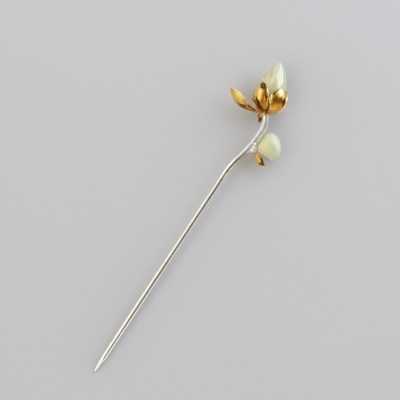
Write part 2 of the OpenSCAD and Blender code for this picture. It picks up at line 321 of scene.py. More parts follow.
class Sheath:
    """Collects points, faces and masks, and makes the mesh object of one piece."""

    def __init__(self) -> None:
        """Starts with no points and no faces."""
        self.points: list[Array] = []
        self.masks: dict[Mask, list[Array]] = {mask: [] for mask in Mask}
        self.faces: list[Sequence[int]] = []
        self.count = 0

    def add(self, points: Array, **masks: Array | float) -> Array:
        """Adds points.

        Args:
            points: The points, one in each row.
            **masks: Values of the points' masks by name; the others are 0.

        Returns:
            The numbers of the new points.
        """
        self.points.append(points)
        for mask in Mask:
            value = masks.get(mask.value, 0.0)
            self.masks[mask].append(np.broadcast_to(value, len(points)).astype(np.float32))
        first = self.count
        self.count += len(points)
        return np.arange(first, self.count)

    def strip(self, a: Array, b: Array, closed: bool = True) -> None:
        """Joins two rows of points with a strip of faces.

        Args:
            a: Numbers of the first row's points.
            b: Numbers of the second row's points, as many as the first row has.
            closed: Whether the rows are rings.
        """
        rest = len(a) if closed else len(a) - 1
        self.faces += [(a[k], a[(k + 1) % len(a)], b[(k + 1) % len(a)], b[k]) for k in range(rest)]

    def loft(self, rings: Sequence[Array]) -> None:
        """Joins rings of points in order and closes both ends.

        Args:
            rings: Numbers of each ring's points.
        """
        for a, b in zip(rings, rings[1:]):
            self.strip(a, b)
        self.faces += [tuple(rings[0][::-1]), tuple(rings[-1])]

    def lathe(self, profile: Array, sides: int, **masks: Array | float) -> None:
        """Adds a turned skin round local Z.

        Args:
            profile: Height and radius of each ring; the first and last close to a point.
            sides: Number of sides of each ring.
            **masks: Values of the rings' masks, one for each ring.
        """
        turn = np.arange(sides) * math.tau / sides
        values = {name: np.broadcast_to(value, len(profile)) for name, value in masks.items()}
        rings = []
        for k, (height, radius) in enumerate(profile):
            here = {name: value[k] for name, value in values.items()}
            rings.append(self.add(circle(radius, turn, height), **here))
        self.loft(rings)

    def mesh(self, name: str, place: Seat | None = None) -> Mesh:
        """Makes a mesh of what was collected, still in millimetres.

        Args:
            name: Name of the mesh.
            place: Seat that the points are local to, if any.

        Returns:
            The mesh with its masks, its faces turned outwards.
        """
        points = np.vstack(self.points)
        if place is not None:
            points = place.placed(points)
        mesh = bpy.data.meshes.new(name)
        mesh.from_pydata(points.tolist(), [], [tuple(int(i) for i in face) for face in self.faces])
        for mask in Mask:
            values = np.concatenate(self.masks[mask])
            if values.any():
                write_mask(mesh, mask, values)
        turned = bmesh.new()
        turned.from_mesh(mesh)
        bmesh.ops.recalc_face_normals(turned, faces=turned.faces)
        turned.to_mesh(mesh)
        turned.free()
        return mesh


def piece(mesh: Mesh, material: Material, node: str, sharp: float) -> Object:
    """Turns a mesh in the row frame and in millimetres into a finished piece of the hairpin.

    Args:
        mesh: The mesh.
        material: What the piece is finished with.
        node: The frame's node that the piece stands for.
        sharp: Angle in degrees above which an edge stays sharp.

    Returns:
        The piece, riding on the hairpin's body.
    """
    mesh.transform(Matrix.Scale(MM, 4) @ Matrix.Translation((0, 0, LIFT)))
    mesh.shade_smooth()
    mesh.set_sharp_from_angle(angle=math.radians(sharp))
    mesh.materials.append(material)
    made = in_scene(mesh.name, mesh)
    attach(made, BODY)
    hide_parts(node)
    return made


class Wiring:
    """Short ways to place and link the nodes of one node tree."""

    def __init__(self, tree: Tree) -> None:
        """Works on a tree that may already hold nodes."""
        self.tree = tree

    def feed(self, node: Node, inputs: dict[str | int, object]) -> None:
        """Sets inputs of a node.

        Args:
            node: The node.
            inputs: Value or socket for each input, by name or number.
        """
        for name, value in inputs.items():
            if isinstance(value, Socket):
                self.tree.links.new(value, node.inputs[name])
            else:
                node.inputs[name].default_value = value

    def add(self, kind: str, inputs: dict[str | int, object] | None = None, **settings: object) -> Node:
        """Adds a node.

        Args:
            kind: Blender's name of the node type.
            inputs: Value or socket for each input, by name or number.
            **settings: Values of the node's own properties.

        Returns:
            The new node.
        """
        node = self.tree.nodes.new(kind)
        for name, value in settings.items():
            setattr(node, name, value)
        self.feed(node, inputs or {})
        return node

    def mix(self, share: object, a: object, b: object) -> Socket:
        """Mixes two colours.

        Args:
            share: Socket or number, 0 for the first colour and 1 for the second.
            a: First colour, as three numbers or a socket.
            b: Second colour, given the same way.

        Returns:
            Socket of the mixed colour.
        """
        full = [c if isinstance(c, Socket) else (*c, 1) for c in (a, b)]
        # Inputs 0, 6 and 7 of this node are the factor and the two colours
        node = self.add("ShaderNodeMix", {0: share, 6: full[0], 7: full[1]}, data_type="RGBA")
        return node.outputs[2]

    def math(self, operation: str, *values: object, clamp: bool = False) -> Socket:
        """Adds a math node and gives its result's socket."""
        node = self.add("ShaderNodeMath", dict(enumerate(values)), operation=operation, use_clamp=clamp)
        return node.outputs[0]

    def ramp(self, value: object, low: float, high: float, start: float = 0, end: float = 1) -> Socket:
        """Maps a value from one stretch smoothly to another.

        Args:
            value: Socket to map.
            low: Value that gives the start.
            high: Value that gives the end.
            start: Result at the low value.
            end: Result at the high value.

        Returns:
            Socket of the mapped value.
        """
        stretch = {0: value, 1: low, 2: high, 3: start, 4: end}
        return self.add("ShaderNodeMapRange", stretch, interpolation_type="SMOOTHSTEP").outputs[0]

    def mask(self, mask: Mask) -> Socket:
        """Reads a mask that the mesh carries."""
        return self.add("ShaderNodeAttribute", attribute_name=mask.value).outputs["Fac"]


def new_group(name: str, inputs: dict[str, float], outputs: Sequence[str]) -> Tree:
    """Makes an empty shader group with named float sockets.

    Args:
        name: Name of the group.
        inputs: Default value of each input by its name.
        outputs: Names of the outputs.

    Returns:
        The group's node tree.
    """
    group = bpy.data.node_groups.new(name, "ShaderNodeTree")
    for label, value in inputs.items():
        socket = group.interface.new_socket(name=label, in_out="INPUT", socket_type="NodeSocketFloat")
        socket.default_value = value
    for label in outputs:
        group.interface.new_socket(name=label, in_out="OUTPUT", socket_type="NodeSocketFloat")
    return group


class Effects:
    """Surface effects that several finishes share, each a shader group made once."""

    def __init__(self) -> None:
        """Builds the groups."""
        self.drift = self._drift()
        self.handwork = self._handwork()
        self.streaks = self._streaks()

    @staticmethod
    def _drift() -> Tree:
        """Makes slow cloudy change over a surface, for colour and roughness.

        Returns:
            The group.
        """
        group = new_group("surface_drift", {"Patch Size mm": 3, "Contrast": 1, "Detail": 3}, ["Drift"])
        wire = Wiring(group)
        asked = wire.add("NodeGroupInput")
        place = wire.add("ShaderNodeTexCoord").outputs["Object"]
        scale = wire.math("DIVIDE", 1 / MM, asked.outputs["Patch Size mm"])
        look = {"Vector": place, "Scale": scale, "Detail": asked.outputs["Detail"], "Roughness": 0.55}
        clouds = wire.add("ShaderNodeTexNoise", look)
        centred = wire.math("SUBTRACT", clouds.outputs["Fac"], 0.5)
        gain = wire.math("MULTIPLY", asked.outputs["Contrast"], 2)
        wire.add("NodeGroupOutput", {"Drift": wire.math("MULTIPLY_ADD", centred, gain, 0.5, clamp=True)})
        return group

    @staticmethod
    def _handwork() -> Tree:
        """Makes the height of hand-finished metal: soft tool marks with a fine grain on them.

        Returns:
            The group.
        """
        sizes = {"Mark Size mm": 1.5, "Mark Depth": 1, "Grain Size mm": 0.12, "Grain Depth": 0.1}
        group = new_group("handwork_height", sizes, ["Height"])
        wire = Wiring(group)
        asked = wire.add("NodeGroupInput")
        place = wire.add("ShaderNodeTexCoord").outputs["Object"]
        total = None
        for label, detail in (("Mark", 1.5), ("Grain", 2.5)):
            scale = wire.math("DIVIDE", 1 / MM, asked.outputs[f"{label} Size mm"])
            texture = wire.add("ShaderNodeTexNoise", {"Vector": place, "Scale": scale, "Detail": detail})
            height = wire.math("MULTIPLY", texture.outputs["Fac"], asked.outputs[f"{label} Depth"])
            total = height if total is None else wire.math("ADD", total, height)
        wire.add("NodeGroupOutput", {"Height": total})
        return group

    @staticmethod
    def _streaks() -> Tree:
        """Makes lengthwise streaks on a petal, from the places that its mesh carries.

        Returns:
            The group.
        """
        group = new_group("lengthwise_streaks", {"Over Width": 7, "Over Length": 1.3}, ["Streak"])
        wire = Wiring(group)
        asked = wire.add("NodeGroupInput")
        across = wire.math("MULTIPLY", wire.mask(Mask.ACROSS), asked.outputs["Over Width"])
        along = wire.math("MULTIPLY", wire.mask(Mask.ALONG), asked.outputs["Over Length"])
        place = wire.add("ShaderNodeCombineXYZ", {"X": across, "Y": along})
        texture = wire.add("ShaderNodeTexNoise", {"Vector": place.outputs[0], "Scale": 1.0, "Detail": 2.0})
        wire.add("NodeGroupOutput", {"Streak": wire.ramp(texture.outputs["Fac"], 0.3, 0.7)})
        return group


class Finish:
    """What every finish shares: its material, its shader and the placing of shared effects."""

    name: str

    def start(self, constants: dict[str, object]) -> tuple[Material, Wiring, Node]:
        """Makes the material with a plain shader.

        Args:
            constants: Values of the shader that are the same all over.

        Returns:
            The material, its wiring and its Principled shader.
        """
        material = bpy.data.materials.new(self.name)
        material.use_nodes = True
        shader = next(n for n in material.node_tree.nodes if n.type == "BSDF_PRINCIPLED")
        wire = Wiring(material.node_tree)
        wire.feed(shader, constants)
        return material, wire, shader

    @staticmethod
    def drift(wire: Wiring, effects: Effects, patch: float, contrast: float, detail: float = 3) -> Socket:
        """Cloudy change with patches of a size in millimetres."""
        values = {"Patch Size mm": patch, "Contrast": contrast, "Detail": detail}
        return wire.add("ShaderNodeGroup", values, node_tree=effects.drift).outputs[0]

    @staticmethod
    def handwork(wire: Wiring, effects: Effects, marks: Span, grain: Span) -> Socket:
        """Height of tool marks and polishing grain, each of a size and depth in millimetres."""
        values = zip(("Mark Size mm", "Mark Depth", "Grain Size mm", "Grain Depth"), (*marks, *grain))
        return wire.add("ShaderNodeGroup", dict(values), node_tree=effects.handwork).outputs[0]

    @staticmethod
    def normal(wire: Wiring, height: Socket) -> Socket:
        """Normal of a surface with a height in millimetres."""
        bump = wire.add("ShaderNodeBump", {"Height": height, "Strength": 1.0, "Distance": MM})
        return bump.outputs["Normal"]


@dataclass(frozen=True)
class Silver(Finish):
    """Silver, from mirror polish to satin.

    Attributes:
        bright, dull: Colours where it is clean and where it has dulled a little.
        rough: Lowest and highest roughness.
        marks, grain: Size and depth of tool marks and of polishing grain, in millimetres.
        gilt: Colour of the painted reflection of the gold petals on the flange.
            tarnish, wear_and_sheen: Colours where painted shade darkens it and painted sheen lightens it.
        clean, polish: Colour, and lowest and highest roughness, where it is polished.
        smoothed: Share of the marks' depth that the polish leaves.
    """

    name: str
    bright: Colour
    dull: Colour
    rough: Span
    marks: Span
    grain: Span
    gilt: Colour = (0.72, 0.5, 0.16)
    tarnish: Colour = (0.36, 0.33, 0.22)
    wear_and_sheen: Colour = (1, 0.99, 0.92)
    clean: Colour = (0.93, 0.92, 0.9)
    polish: Span = (0.12, 0.2)
    smoothed: float = 0.15

    def material(self, effects: Effects) -> Material:
        """Builds the material.

        Args:
            effects: Surface effects that the finishes share.

        Returns:
            The material.
        """
        material, wire, shader = self.start({"Metallic": 1.0})
        colour = wire.mix(self.drift(wire, effects, patch=4, contrast=1.4), self.bright, self.dull)
        # Polish, painted shade, painted sheen and the painted reflection of the gold petals go over it
        coats = {
            Mask.POLISH: self.clean,
            Mask.TARNISH_AND_SHADE: self.tarnish,
            Mask.PALE: self.wear_and_sheen,
            Mask.GILT: self.gilt,
        }
        for mask, coat in coats.items():
            colour = wire.mix(wire.mask(mask), colour, coat)
        polished = wire.mask(Mask.POLISH)
        low, high = (wire.ramp(polished, 0, 1, *ends) for ends in zip(self.rough, self.polish))
        rough = wire.ramp(self.drift(wire, effects, patch=1.2, contrast=1.6), 0, 1, low, high)
        height = self.handwork(wire, effects, self.marks, self.grain)
        height = wire.math("MULTIPLY", height, wire.ramp(polished, 0, 0.6, 1, self.smoothed))
        wire.feed(shader, {"Base Color": colour, "Roughness": rough, "Normal": self.normal(wire, height)})
        return material


@dataclass(frozen=True)
class GoldPlate(Finish):
    """Gold plate that is bright on its faces and brown in its folds, where shade and dark reflections are
    painted.

    Attributes:
        bright, deep: Colours of the open faces, and of painted shade and painted reflection towards the
            roots.
        pale: Colour where it is worn and polished, and of painted highlights.
        russet, deep_russet: Colours of light tarnish and painted shade on bright and on deep gold.
        brown, deep_brown: Colours of heavy tarnish and painted shade on bright and on deep gold.
        rough: Lowest and highest roughness of the clean plate.
        streak: Height of the lengthwise streaks in millimetres.
        lacquer: Strength of the clear lacquer on the clean plate.
        streaky: How strong the streaks are beside the clouds.
        mottle, blot: How far both together shift the colour and break up the tarnish and painted shade.
        dulled: Roughness that full tarnish and painted shade adds.
    """

    name: str
    bright: Colour
    deep: Colour
    pale: Colour
    russet: Colour
    deep_russet: Colour
    brown: Colour
    deep_brown: Colour
    rough: Span
    streak: float = 0.014
    lacquer: float = 0.4
    streaky: float = 0.6
    mottle: float = 0.4
    blot: float = 0.6
    dulled: float = 0.15

    def material(self, effects: Effects) -> Material:
        """Builds the material.

        Args:
            effects: Surface effects that the finishes share.

        Returns:
            The material.
        """
        material, wire, shader = self.start({"Metallic": 1.0, "Coat Roughness": 0.16})
        clouds = self.drift(wire, effects, patch=2.2, contrast=1.2)
        streaks = wire.add("ShaderNodeGroup", node_tree=effects.streaks).outputs[0]
        streaked = wire.math("SUBTRACT", streaks, 0.5)
        uneven = wire.math("MULTIPLY_ADD", streaked, self.streaky, wire.math("SUBTRACT", clouds, 0.5))
        # Deeper gold where the mesh carries painted shade and painted reflection
        deep = wire.mask(Mask.DEEP)
        deepened = wire.math("MULTIPLY_ADD", uneven, self.mottle, deep, clamp=True)
        plate = wire.mix(deepened, self.bright, self.deep)
        blots = wire.math("MULTIPLY_ADD", uneven, self.blot, 1)
        shade_and_stain = wire.math("MULTIPLY", wire.mask(Mask.TARNISH_AND_SHADE), blots, clamp=True)
        # Pale gold where it is worn, and where highlights are painted
        plate = wire.mix(wire.mask(Mask.PALE), plate, self.pale)
        # Light tarnish and painted shade come in first, and heavy tarnish and painted shade over it
        plate = wire.mix(wire.ramp(shade_and_stain, 0, 0.6), plate, wire.mix(deep, self.russet, self.deep_russet))
        plate = wire.mix(wire.ramp(shade_and_stain, 0.3, 1), plate, wire.mix(deep, self.brown, self.deep_brown))
        bare = wire.math("MAXIMUM", shade_and_stain, wire.math("MULTIPLY", deep, 0.5))
        clean = wire.ramp(clouds, 0, 1, *self.rough)
        height = self.handwork(wire, effects, marks=(1.4, 0.035), grain=(0.16, 0.002))
        height = wire.math("MULTIPLY_ADD", streaks, self.streak, height)
        inputs = {
            "Base Color": plate,
            "Coat Weight": wire.ramp(bare, 0, 0.6, self.lacquer, 0),
            "Roughness": wire.math("MULTIPLY_ADD", shade_and_stain, self.dulled, clean),
            "Normal": self.normal(wire, height),
        }
        wire.feed(shader, inputs)
        return material


@dataclass(frozen=True)
class Jade(Finish):
    """Pale jade: cloudy, slightly see-into and smoothly polished.

    Attributes:
        pale, green: Colours of the lightest and of the darker clouds.
        warm: Colour of the painted reflection of the gold near it.
        foot: Colour of the painted shade at the foot, deep between the petals.
        polish, coat: Roughness of the polish, and strength of the sheen on it.
        glow: How much light travels inside, from 0 to 1.
        depth: How far red, green and blue light travels inside, in millimetres.
    """

    name: str
    pale: Colour = (0.51, 0.53, 0.4)
    green: Colour = (0.48, 0.51, 0.35)
    warm: Colour = (0.76, 0.69, 0.33)
    foot: Colour = (0.4, 0.18, 0.02)
    polish: float = 0.15
    coat: float = 1
    glow: float = 0.85
    depth: Colour = (5, 5.2, 3.4)

    def material(self, effects: Effects) -> Material:
        """Builds the material.

        Args:
            effects: Surface effects that the finishes share.

        Returns:
            The material.
        """
        material, wire, shader = self.start(
            {
                "Subsurface Weight": self.glow,
                "Subsurface Radius": self.depth,
                "Subsurface Scale": MM,
                "IOR": 1.6,
                "Coat IOR": 1.75,
                "Coat Roughness": self.polish / 2,
            }
        )
        stone = wire.mix(self.drift(wire, effects, patch=5, contrast=1.3, detail=4), self.pale, self.green)
        # Painted reflection of the gold near it, which also lightens the stone's shade
        stone = wire.mix(wire.mask(Mask.REFLECTED_GOLD), stone, self.warm)
        # Painted shade at the foot, between the petals, where the sheen is also taken away
        foot = wire.mask(Mask.TARNISH_AND_SHADE)
        smears = self.drift(wire, effects, patch=2, contrast=1.2)
        height = self.handwork(wire, effects, marks=(2.4, 0.02), grain=(0.2, 0.001))
        inputs = {
            "Base Color": wire.mix(foot, stone, self.foot),
            "Coat Weight": wire.ramp(foot, 0, 1, self.coat, 0),
            "Roughness": wire.ramp(smears, 0, 1, self.polish, self.polish * 1.4),
            "Normal": self.normal(wire, height),
        }
        wire.feed(shader, inputs)
        return material


@dataclass(frozen=True)
class Matte(Finish):
    """Plain matte surface of the floor.

    Attributes:
        light, shade: Its two colours, which drift into each other.
    """

    name: str
    light: Colour
    shade: Colour

    def material(self, effects: Effects) -> Material:
        """Builds the material.

        Args:
            effects: Surface effects that the finishes share.

        Returns:
            The material.
        """
        material, wire, shader = self.start({"Roughness": 0.9, "Specular IOR Level": 0.2})
        clouds = self.drift(wire, effects, patch=60, contrast=1.2)
        wire.feed(shader, {"Base Color": wire.mix(clouds, self.light, self.shade)})
        return material


@dataclass(frozen=True)
class Mark:
    """A soft-edged stroke on a petal's outer face: a dent, a ridge, tarnish, painted shade, a painted
    reflection, a painted highlight or a deeper gold.

    Attributes:
        start, end: Places from the root (0) to the tip (1) and from margin (-1) to margin (1).
        width: Half width in millimetres.
        tarnish, deep, pale: How brown with tarnish and painted shade, how deep with painted shade and
            reflection, and how pale with wear and painted highlight its gold is, from 0 to 1.
        dent: Depth in millimetres; below 0 it stands proud.
    """

    start: Span
    end: Span
    width: float
    tarnish: float = 0
    dent: float = 0
    deep: float = 0
    pale: float = 0


@dataclass(frozen=True)
class Petal:
    """One petal that grows out of the rim of its disc.

    Attributes:
        turn: Turn about the seat in degrees, from the photo's left towards the viewer.
        root_from, root_to: Turns between which its root leaves the rim.
        rows: Table of its sections.
        bead, flute, bend: Height in millimetres of its raised margin, of its lengthwise flutes
            and of its hand-formed unevenness.
        deep: How deep its gold is all over, as painted shade, from 0 to 1.
        marks: Strokes on its outer face, with painted shade, painted reflections and painted highlights.
        flutes: Number of flutes over the whole width.
    """

    turn: float
    root_from: float
    root_to: float
    rows: Rows
    bead: float = 0.06
    flute: float = 0.035
    bend: float = 0.09
    deep: float = 0
    marks: tuple[Mark, ...] = ()
    flutes: int = 5

    def _flat(self, along: Array, across: Array) -> Array:
        """Places on the petal laid flat.

        Args:
            along: Places from the root (0) to the tip (1).
            across: Places from one margin (-1) to the other (1).

        Returns:
            Millimetres along and across it, for each place.
        """
        line = np.asarray(self.rows, float)[:, :2]
        length = np.linalg.norm(np.diff(line, axis=0), axis=1).sum()
        return np.stack([along * length, across * row_at(self.rows, along)[..., 2]], -1)

    def nearness(self, along: Array, across: Array, mark: Mark) -> Array:
        """How near places lie to a mark.

        Args:
            along: Places from the root (0) to the tip (1).
            across: Places from one margin (-1) to the other (1).
            mark: The mark.

        Returns:
            1 on the mark's line and 0 away from it, for each place.
        """
        here = self._flat(along, across)
        start, end = (self._flat(np.array(a), np.array(b)) for a, b in (mark.start, mark.end))
        run = end - start
        share = np.clip((here - start) @ run / max(run @ run, 1e-6), 0, 1)
        away = np.linalg.norm(here - start - share[..., None] * run, axis=-1)
        return np.exp(-((away / mark.width) ** 3))

    def relief(self, along: Array, across: Array, outer: bool) -> Array:
        """How far the face stands proud of the plain sheet, in millimetres outwards.

        Args:
            along: Places from the root (0) to the tip (1).
            across: Places from one margin (-1) to the other (1).
            outer: Whether this is the outer face.

        Returns:
            The height at each place.
        """
        bead_at, bead_width = 0.9, 0.06
        waves_along, waves_across = 5, 2.2
        fade = np.sin(np.pi * np.clip(along, 0, 1)) ** 0.6
        bent = self.bend * fade * wave(along * waves_along, across * waves_across, self.turn)
        ribs = self.flute * fade * np.cos(np.pi * self.flutes * across) * (1 - across**2)
        margin = self.bead * fade * np.exp(-(((np.abs(across) - bead_at) / bead_width) ** 2))
        face = ribs + margin if outer else ribs - margin
        if outer:
            for mark in self.marks:
                if mark.dent:
                    face = face - mark.dent * self.nearness(along, across, mark)
        return bent + face

    def tint(self, along: Array, across: Array, outer: bool) -> dict[str, Array]:
        """How brown, deep and pale the gold is, with painted shade, painted reflection and painted
        highlights.

        Args:
            along: Places from the root (0) to the tip (1).
            across: Places from one margin (-1) to the other (1).
            outer: Whether this is the outer face, which alone has the marks.

        Returns:
            Values from 0 to 1 for each place, by the mask's name.
        """
        # Worn pale on the outermost sixth of each half, apart from the root, and a painted highlight on the
        # rims
        margin_wear_and_highlight = np.clip(np.abs(across) * 6 - 5, 0, 1) * np.clip(along * 4, 0, 1)
        # Painted shade, brown and deep, towards the root
        brown_root = np.exp(-((along / 0.12) ** 2))
        deep_root = (1 - along) ** 3
        tint = {
            Mask.TARNISH_AND_SHADE.value: 0.25 * brown_root,
            Mask.DEEP.value: self.deep + 0.5 * deep_root,
            Mask.PALE.value: 0.5 * margin_wear_and_highlight,
        }
        for mark in self.marks if outer else ():
            near = self.nearness(along, across, mark)
            for label in tint:
                tint[label] = tint[label] + getattr(mark, label) * near
        return {label: np.clip(value, 0, 1) for label, value in tint.items()}

    def face(self, along: Array, across: Array, outer: bool) -> Array:
        """Points of one face, local to the whorl.

        Args:
            along: Places from the root (0) to the tip (1), one in each row.
            across: Places from one margin (-1) to the other (1).
            outer: Whether this is the outer face.

        Returns:
            The points, three numbers at each place.
        """
        # Shares of the length: half a step along it, where the tip rounds off, and where the root is plain
        step, tip_at, plain_to = 0.01, 0.965, 0.08
        # How nearly the tip and the margins close to an edge
        tip_close, margin_close = 0.9, 0.97
        ahead = row_at(self.rows, along + step) - row_at(self.rows, along - step)
        run = ahead[..., :2] / np.linalg.norm(ahead[..., :2], axis=-1, keepdims=True)
        reach, rise, half, curl, roll = np.moveaxis(row_at(self.rows, along), -1, 0)
        over = np.clip((along - tip_at) / (1 - tip_at), 0, 0.999)
        half = half * np.sqrt(1 - tip_close * over**2)
        curl, roll = np.radians(curl), np.radians(roll)
        curve = half / curl
        edge = 1 - SHEET / 2 / np.maximum(half, SHEET)
        over_edge = np.clip((np.abs(across) - edge) / (1 - edge), 0, 1)
        thin = np.sqrt(1 - margin_close * over_edge**2) * np.sqrt(1 - tip_close * over**2)
        rounded = np.clip(along / plain_to, 0, 1)
        thickness = SHEET / 2 * (1 - rounded * (1 - thin))
        shift = (thickness if outer else -thickness) + self.relief(along, across, outer) * thin
        angle = curl * across
        out = (curve + shift) * np.sin(angle)
        depth = curve - (curve + shift) * np.cos(angle)
        side = out * np.cos(roll) - depth * np.sin(roll)
        up = out * np.sin(roll) + depth * np.cos(roll)
        points = np.stack([reach - up * run[..., 1], side, rise + up * run[..., 0]], -1)
        cos, sin = math.cos(math.radians(self.turn)), math.sin(math.radians(self.turn))
        return points @ np.array([[cos, sin, 0], [-sin, cos, 0], [0, 0, 1]])


@dataclass(frozen=True)
class Whorl:
    """A disc of gilt sheet with petals that grow out of its rim.

    Attributes:
        name, node: Name of the piece, and the frame's node that it stands for.
        seat, lift: Where it sits, and the height of the disc's middle above its seat.
        radius, hole: Radius of the disc and of the hole for the post.
        petals: Its petals, by rising turn.
        wear_and_sheen: How worn and pale the disc's gold is, and how little painted shade it has, from 0 to
            1.
        spans, steps: Number of steps across and along each petal.
        rim_turn: Largest turn between two points on the bare rim, in degrees.
    """

    name: str
    node: str
    seat: Seat
    lift: float
    radius: float
    hole: float
    petals: tuple[Petal, ...]
    wear_and_sheen: float = 0
    spans: int = 52
    steps: int = 84
    rim_turn: float = 4

    def build(self, finish: Material) -> Object:
        """Builds the whorl as one closed skin and dresses it.

        Args:
            finish: Material that it is made of.

        Returns:
            The finished piece.
        """
        skin = Sheath()
        angles, roots = self._rim_angles()
        # The disc under the petals gets painted shade, less where it is worn
        tint = {"deep": 1 - self.wear_and_sheen, "tarnish": 0.2 * (1 - self.wear_and_sheen), "pale": self.wear_and_sheen}
        rings = {}
        for label, radius in (("hole", self.hole), ("rim", self.radius)):
            for face in (1, -1):
                ring = circle(radius, np.radians(angles), self.lift + face * SHEET / 2)
                rings[label, face] = skin.add(ring, **tint)
        skin.strip(rings["hole", 1], rings["rim", 1])
        skin.strip(rings["rim", -1], rings["hole", -1])
        skin.strip(rings["hole", -1], rings["hole", 1])
        bare = np.ones(len(angles), bool)
        for petal, first in zip(self.petals, roots):
            place = (first + np.arange(self.spans + 1)) % len(angles)
            bare[place[:-1]] = False
            self._grow(skin, petal, rings["rim", 1][place], rings["rim", -1][place])
        for k in np.flatnonzero(bare):
            pair = np.array([k, (k + 1) % len(angles)])
            skin.strip(rings["rim", -1][pair], rings["rim", 1][pair], closed=False)
        mesh = skin.mesh(self.name, self.seat)
        return piece(mesh, finish, self.node, sharp=60)

    def _rim_angles(self) -> tuple[Array, list[int]]:
        """Spreads points round the rim.

        Returns:
            Turns of all points in degrees, and the number at which each root begins.
        """
        angles: list[float] = []
        roots: list[int] = []
        starts = [petal.root_from for petal in self.petals]
        for petal, following in zip(self.petals, [*starts[1:], starts[0] + 360]):
            roots.append(len(angles))
            angles += list(np.linspace(petal.root_from, petal.root_to, self.spans, endpoint=False))
            count = math.ceil((following - petal.root_to) / self.rim_turn)
            angles += list(np.linspace(petal.root_to, following, count, endpoint=False))
        return np.array(angles), roots

    def _grow(self, skin: Sheath, petal: Petal, top: Array, bottom: Array) -> None:
        """Grows one petal from its root on the rim.

        Args:
            skin: Where its points and faces go.
            petal: The petal.
            top: Numbers of the root's points on the disc's inner face.
            bottom: Numbers of the root's points on its outer face.
        """
        # Steps that are closer together towards the margins
        even = np.linspace(-1, 1, self.spans + 1)
        across = 0.4 * even + 0.6 * np.sin(even * math.pi / 2)
        along = np.linspace(0, 1, self.steps + 1)
        grid_along, grid_across = np.meshgrid(along, across, indexing="ij")
        faces, tints = [], []
        for outer in (False, True):
            faces.append(petal.face(grid_along, grid_across, outer) + np.array([0, 0, self.lift]))
            tints.append(petal.tint(grid_along, grid_across, outer))
        place = (across + 1) / 2
        before = np.concatenate([top, bottom[::-1]])
        for k, share in enumerate(along):
            points = np.vstack([faces[0][k], faces[1][k][::-1]])
            tint = {name: np.concatenate([tints[0][name][k], tints[1][name][k][::-1]]) for name in tints[0]}
            ring = skin.add(points, along=share, across=np.concatenate([place, place[::-1]]), **tint)
            skin.strip(before, ring)
            before = ring
        inner, outside = before[: self.spans + 1], before[self.spans + 1 :][::-1]
        skin.strip(inner, outside, closed=False)


@dataclass(frozen=True)
class Bud:
    """A turned jade bud with a blind bore for its post.

    Attributes:
        name, node: Name of the piece, and the frame's node that it stands for.
        seat, lift: Where it sits, and the height of its foot above its seat.
        rows: Profile, as shares of its length and widest radius.
        length, radius: Its length and widest radius.
        bore: Depth and radius of the bore.
        reflected_gold_to: Share of the length up to which the gold's reflection is painted on the stone.
        reflected_gold_side: Turn about the bud of the side on which that painted reflection is strongest.
        foot_to: Share of the length up to which painted shade darkens the foot between the petals.
        sides, steps: Number of sides, and of steps from one row to the next.
    """

    name: str
    node: str
    seat: Seat
    lift: float
    rows: Rows
    length: float
    radius: float
    bore: Span
    reflected_gold_to: float
    reflected_gold_side: float = 40
    foot_to: float = 0.01
    sides: int = 128
    steps: int = 8

    def build(self, finish: Material) -> Object:
        """Builds the bud and dresses it.

        Args:
            finish: Material that it is made of.

        Returns:
            The finished piece.
        """
        turned = even_curve(self.rows, self.steps) * np.array([self.length, self.radius])
        depth, radius = self.bore
        inner = np.array([[depth, POINT_R], [depth, radius], [0, radius]])
        profile = np.vstack([inner, turned]) + np.array([self.lift, 0])
        height = profile[:, 0] - self.lift
        share = np.clip(height / (self.length * self.reflected_gold_to), 0, 1) ** 1.5
        # Painted shade: the foot is fully dark up to half of its height
        foot = np.clip(2 - 2 * height / (self.length * self.foot_to), 0, 1)
        skin = Sheath()
        skin.lathe(profile, self.sides, warmth=1 - share, tarnish=foot)
        # Away from the side where it is strongest, a fifth of the painted reflection is left
        for k, ring in enumerate(skin.points):
            side = np.cos(np.arctan2(ring[:, 1], ring[:, 0]) - math.radians(self.reflected_gold_side))
            skin.masks[Mask.REFLECTED_GOLD][k] = skin.masks[Mask.REFLECTED_GOLD][k] * (0.6 + 0.4 * side)
        return piece(skin.mesh(self.name, self.seat), finish, self.node, sharp=50)


@dataclass(frozen=True)
class Shank:
    """The straight polished pin, from its point to the neck of the twig.

    Attributes:
        sides, steps: Number of sides, and of steps from one row to the next.
    """

    name: str = "silver_shank"
    sides: int = 96
    steps: int = 12

    def build(self, finish: Material) -> Object:
        """Builds the shank and dresses it.

        Args:
            finish: Material that it is made of.

        Returns:
            The finished piece.
        """
        skin = Sheath()
        skin.lathe(even_curve(PIN, self.steps), self.sides)
        mesh = skin.mesh(self.name)
        lie = (
            Matrix.Translation((REST_AT - ORIGIN[0], -ORIGIN[1], REST_R))
            @ Matrix.Rotation(math.radians(90) - LEAN, 4, "Y")
            @ Matrix.Translation((0, 0, -REST_AT / math.cos(LEAN)))
        )
        mesh.transform(lie)
        return piece(mesh, finish, "pin_and_twig", sharp=50)


